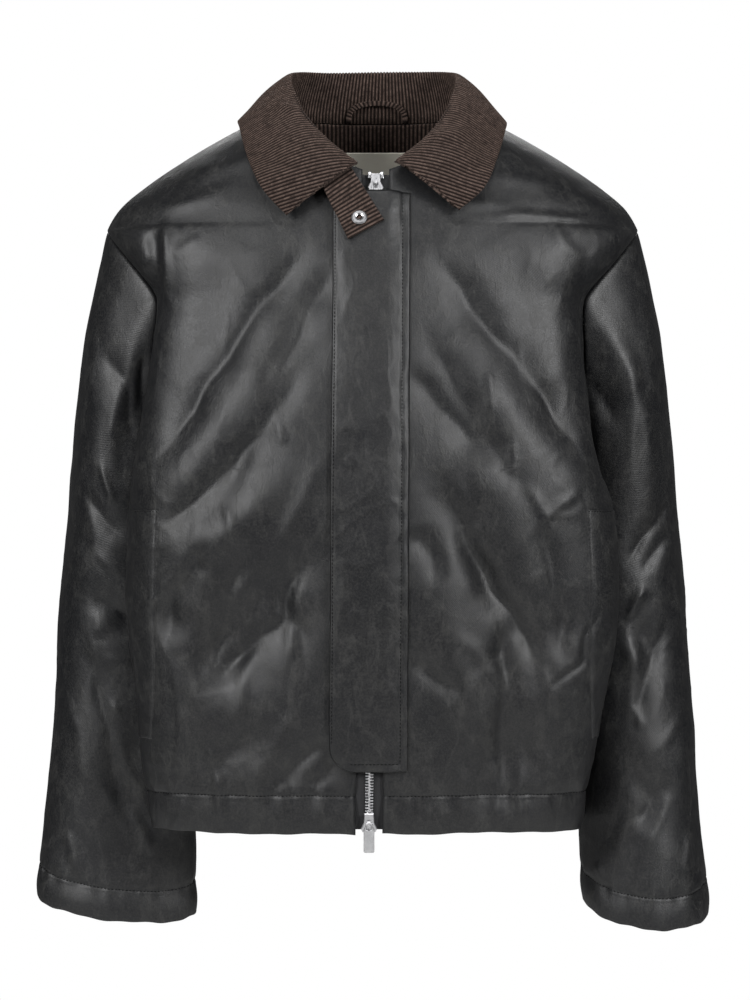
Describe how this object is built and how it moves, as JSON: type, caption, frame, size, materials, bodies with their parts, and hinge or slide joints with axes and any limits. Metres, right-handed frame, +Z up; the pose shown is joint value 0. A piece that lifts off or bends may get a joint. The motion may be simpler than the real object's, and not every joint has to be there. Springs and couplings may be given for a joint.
{
  "type": "waxed cotton jacket",
  "caption": "Boxy waxed cotton jacket in its worn shape, with a corduroy collar and throat tab, a storm flap over a two-way zip and side pocket welts.",
  "frame": {"origin": "midway between the two points where the shoulder seams meet the collar, where the wearer's neck and shoulders hold the jacket", "axes": "+Z up along the body, +X to the wearer's left, the front faces -Y"},
  "size_m": [0.6266, 0.2971, 0.8024],
  "materials": {
    "waxed_cotton": "very dark grey waxed cotton with a soft oily sheen",
    "corduroy": "dark brown fine-wale cotton corduroy",
    "nickel": "bright nickel-plated metal",
    "zip_tape": "black woven zip tape",
    "label_cotton": "plain beige woven cotton"
  },
  "bodies": {
    "jacket": {"front_right": "waxed_cotton", "front_left": "waxed_cotton", "back": "waxed_cotton", "sleeve_right": "waxed_cotton", "sleeve_left": "waxed_cotton", "collar": "corduroy", "storm_flap": "waxed_cotton", "pocket_welt_right": "waxed_cotton", "pocket_welt_left": "waxed_cotton", "throat_tab": "corduroy", "snap_ring": "nickel", "zip_chain": "nickel", "zip_tape_right": "zip_tape", "zip_tape_left": "zip_tape", "zip_slider_upper": "nickel", "zip_slider_lower": "nickel", "back_neck_facing": "corduroy", "label": "label_cotton", "hanger_loop": "corduroy"},
    "lower_pull": {"zip_pull_lower": "nickel"},
    "upper_pull": {"zip_pull_upper": "nickel"}
  },
  "joints": [
    {"name": "lower_pull_swing", "type": "hinge", "parent": "jacket", "child": "lower_pull", "pos_m": [-0.00307, -0.12876, -0.64762], "axis": [-1, 0, 0], "range_deg": [0, 150]},
    {"name": "upper_pull_swing", "type": "hinge", "parent": "jacket", "child": "upper_pull", "pos_m": [0.00292, -0.10862, -0.07229], "axis": [-1, 0, 0], "range_deg": [0, 2]}
  ]
}
